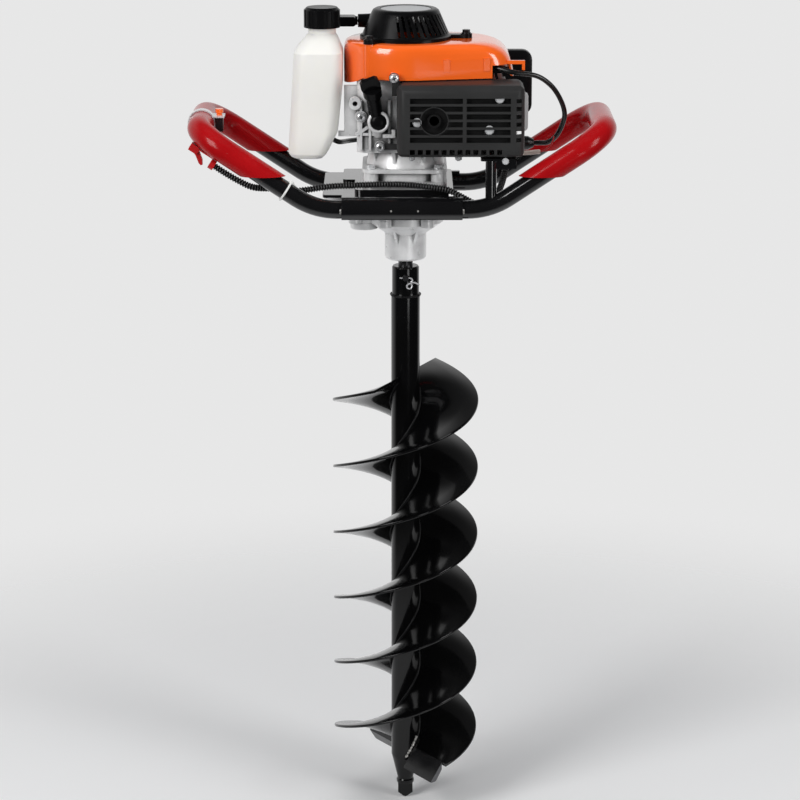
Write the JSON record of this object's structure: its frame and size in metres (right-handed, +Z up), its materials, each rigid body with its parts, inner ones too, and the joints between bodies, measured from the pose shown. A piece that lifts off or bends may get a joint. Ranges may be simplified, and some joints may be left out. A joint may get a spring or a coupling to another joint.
{
  "type": "earth auger",
  "caption": "One-operator earth auger: small four-stroke engine over a reduction gearbox, looped handles with sleeve grips, and a double-flight soil bit on a pinned shaft.",
  "frame": {"origin": "tip of the pilot point, on the drill axis", "axes": "+Z up along the drill axis, +X toward the cylinder head, -Y toward the muffler guard"},
  "size_m": [0.5802, 0.234, 1.147],
  "materials": {
    "black_paint": "gloss black paint",
    "bit_paint": "gloss black paint",
    "guard_paint": "matte heat-proof black paint",
    "red_grip": "smooth red sleeve",
    "red_plastic": "red moulded plastic",
    "orange_plastic": "glossy orange moulded plastic",
    "cast_aluminium": "fine sand-cast",
    "steel": "machined",
    "zinc_steel": "bright zinc plate",
    "black_plastic": "moulded black plastic",
    "black_rubber": "matte",
    "tank_white": "milky white moulded plastic",
    "disc_grey": "smooth light grey",
    "rope_fibre": "braided",
    "white_plastic": "smooth white",
    "porcelain": "glazed",
    "wire_sleeve": "clear sleeve over red wire"
  },
  "bodies": {
    "machine": {"front_tube": "black_paint", "rear_tube": "black_paint", "left_grip": "red_grip", "right_grip": "red_grip", "base_plate": "black_paint", "engine_plate": "black_paint", "support_strut": "black_paint", "flange_bolts": "zinc_steel", "gearbox_case": "cast_aluminium", "gearbox_cover": "cast_aluminium", "output_bearings": "steel", "small_bearings": "steel", "clutch_housing": "cast_aluminium", "crankcase": "cast_aluminium", "engine_cylinder": "cast_aluminium", "rocker_cover": "cast_aluminium", "spark_plug": "porcelain", "plug_boot": "black_rubber", "ignition_coil": "black_plastic", "ht_lead": "black_rubber", "stop_wire": "wire_sleeve", "engine_shroud": "orange_plastic", "recoil_cover": "black_plastic", "cover_disc": "disc_grey", "fuel_tank": "tank_white", "fuel_hose": "black_rubber", "oil_neck": "black_plastic", "carburettor": "cast_aluminium", "air_cleaner": "black_plastic", "muffler": "steel", "muffler_guard": "guard_paint", "throttle_bracket": "red_plastic", "switch_plate": "zinc_steel", "cable_loom": "black_rubber", "cable_tie": "white_plastic", "starter_rope": "rope_fibre"},
    "drill": {"output_shaft": "steel", "output_gear": "steel", "auger_tube": "bit_paint", "drive_socket": "bit_paint", "coupling_pin": "zinc_steel", "flight_a": "bit_paint", "flight_b": "bit_paint", "cutter_blades": "bit_paint", "pilot_point": "bit_paint"},
    "clip": {"r_clip": "zinc_steel"},
    "lay": {"layshaft": "steel", "lay_gear": "steel"},
    "drum": {"clutch_drum": "steel"},
    "crank": {"crankshaft": "steel", "clutch_shoes": "steel", "flywheel": "cast_aluminium"},
    "reel": {"starter_reel": "black_plastic"},
    "starter_grip": {"starter_handle": "black_plastic"},
    "trigger": {"throttle_trigger": "red_plastic"},
    "throttle": {"throttle_arm": "zinc_steel"},
    "choke": {"choke_lever": "black_plastic"},
    "button": {"stop_button": "orange_plastic"},
    "filler_cap": {"fuel_cap": "black_plastic"},
    "dipstick_cap": {"oil_cap": "black_plastic"}
  },
  "joints": [
    {"name": "auger_spin", "type": "hinge", "parent": "machine", "child": "drill", "pos_m": [0, 0, 0.8], "axis": [0, 0, 1], "continuous": true},
    {"name": "clip_pull", "type": "slide", "parent": "drill", "child": "clip", "axis": [1, 0, 0], "range_m": [0, 0.03]},
    {"name": "layshaft_spin", "type": "hinge", "parent": "machine", "child": "lay", "pos_m": [-0.057, 0, 0.88], "axis": [0, 0, 1], "continuous": true},
    {"name": "drum_spin", "type": "hinge", "parent": "machine", "child": "drum", "pos_m": [0, 0, 0.9], "axis": [0, 0, 1], "continuous": true},
    {"name": "crank_spin", "type": "hinge", "parent": "machine", "child": "crank", "pos_m": [0, 0, 1], "axis": [0, 0, 1], "continuous": true},
    {"name": "starter_pull", "type": "slide", "parent": "machine", "child": "starter_grip", "axis": [-1, 0, 0], "range_m": [0, 0.5], "stiffness_N_per_m": 30, "springref_m": -0.3, "deforming": ["starter_rope"]},
    {"name": "reel_spin", "type": "hinge", "parent": "machine", "child": "reel", "pos_m": [0, 0, 1.121], "axis": [0, 0, 1], "range_deg": [0, 900]},
    {"name": "trigger_squeeze", "type": "hinge", "parent": "machine", "child": "trigger", "pos_m": [-0.28335, -0.08, 0.96373], "axis": [0, -1, 0], "range_deg": [0, 18], "stiffness_Nm_per_rad": 0.4, "springref_deg": -14.32},
    {"name": "throttle_turn", "type": "hinge", "parent": "machine", "child": "throttle", "pos_m": [0.128, 0.07, 1.026], "axis": [0, 0, 1], "range_deg": [0, 54.5]},
    {"name": "choke_turn", "type": "hinge", "parent": "machine", "child": "choke", "pos_m": [0.112, 0.07, 1.026], "axis": [0, 0, 1], "range_deg": [0, 75]},
    {"name": "stop_press", "type": "slide", "parent": "machine", "child": "button", "axis": [0, 0, -1], "range_m": [0, 0.003], "stiffness_N_per_m": 400, "springref_m": -0.003},
    {"name": "fuel_cap_lift", "type": "slide", "parent": "machine", "child": "filler_cap", "axis": [0, 0, 1], "range_m": [0, 0.05]},
    {"name": "oil_cap_draw", "type": "slide", "parent": "machine", "child": "dipstick_cap", "axis": [-0.1229, -0.4695, 0.8744], "range_m": [0, 0.045]}
  ],
  "couplings": [
    {"joint": "layshaft_spin", "follows": "auger_spin", "ratio": -3.75},
    {"joint": "drum_spin", "follows": "auger_spin", "ratio": 22.159},
    {"joint": "reel_spin", "follows": "starter_pull", "rad_per_m": 31.25},
    {"joint": "throttle_turn", "follows": "trigger_squeeze", "ratio": 3}
  ]
}
